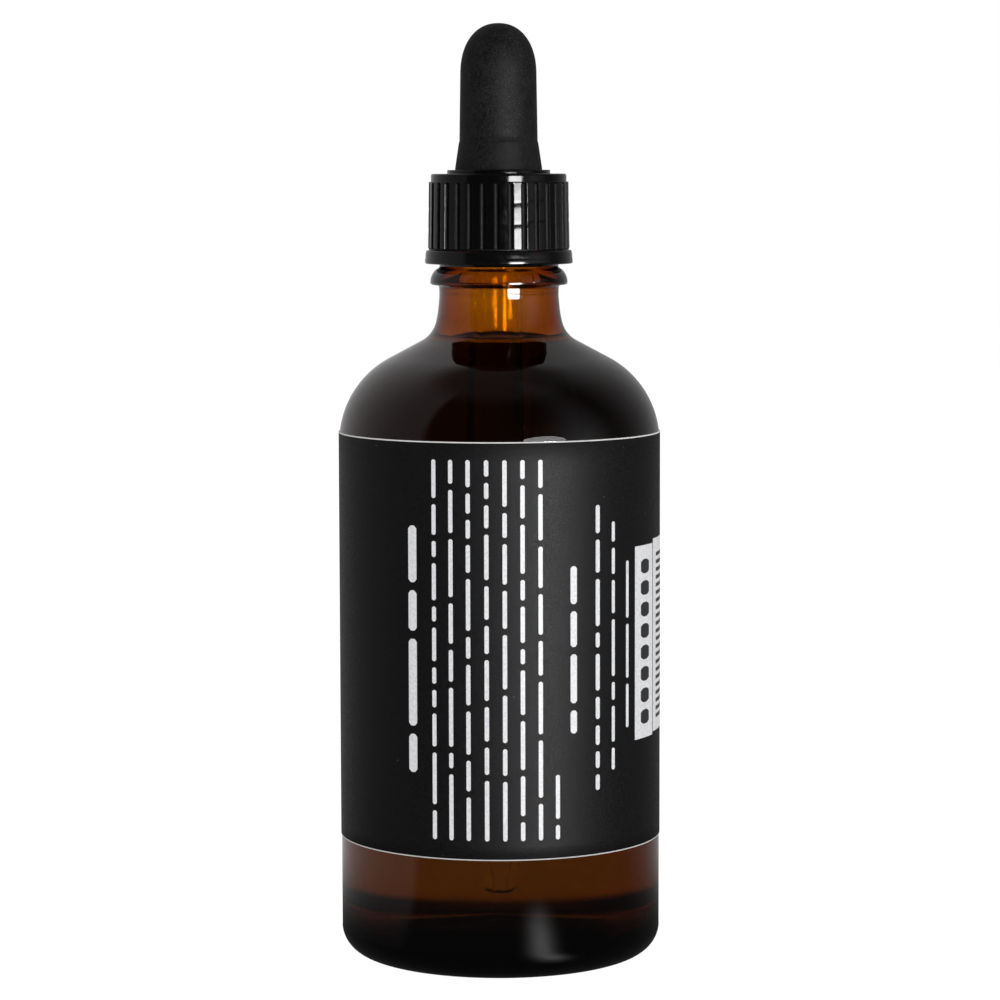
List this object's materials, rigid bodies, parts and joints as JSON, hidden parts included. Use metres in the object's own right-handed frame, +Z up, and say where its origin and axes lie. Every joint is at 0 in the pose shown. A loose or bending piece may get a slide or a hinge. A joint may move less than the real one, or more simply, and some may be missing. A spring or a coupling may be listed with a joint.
{
  "type": "bitters bottle",
  "caption": "Amber glass dropper bottle with a wrap-round label, a ribbed screw cap over a tamper ring, a rubber bulb and a glass pipette.",
  "frame": {"origin": "middle of the base, on the plane that the bottle stands on", "axes": "+Z up the bottle's axis; the pictured side faces -Y, and +X is to the right in the picture"},
  "size_m": [0.0468, 0.0469, 0.1354],
  "materials": {
    "amber_glass": "clear, polished as moulded",
    "bitters": "clear dark brown liquid",
    "label_paper": "matte black print on white-cored paper",
    "cap_plastic": "glossy moulded polypropylene",
    "bulb_rubber": "matte",
    "clear_glass": "clear, fire-polished"
  },
  "bodies": {
    "bottle": {"glass_bottle": "amber_glass", "bitters": "bitters", "label": "label_paper"},
    "tamper_ring": {"tamper_ring": "cap_plastic"},
    "dropper": {"rubber_bulb": "bulb_rubber", "glass_pipette": "clear_glass", "bitters_in_pipette": "bitters"},
    "cap": {"screw_cap": "cap_plastic"}
  },
  "joints": [
    {"name": "closure_lift", "type": "slide", "parent": "bottle", "child": "dropper", "axis": [0, 0, 1], "range_m": [0, 0.11]},
    {"name": "cap_turn", "type": "hinge", "parent": "dropper", "child": "cap", "pos_m": [0, 0, 0.1137], "axis": [0, 0, 1], "range_deg": [0, 540]},
    {"name": "tamper_ring_turn", "type": "hinge", "parent": "bottle", "child": "tamper_ring", "pos_m": [0, 0, 0.1017], "axis": [0, 0, 1], "continuous": true}
  ]
}
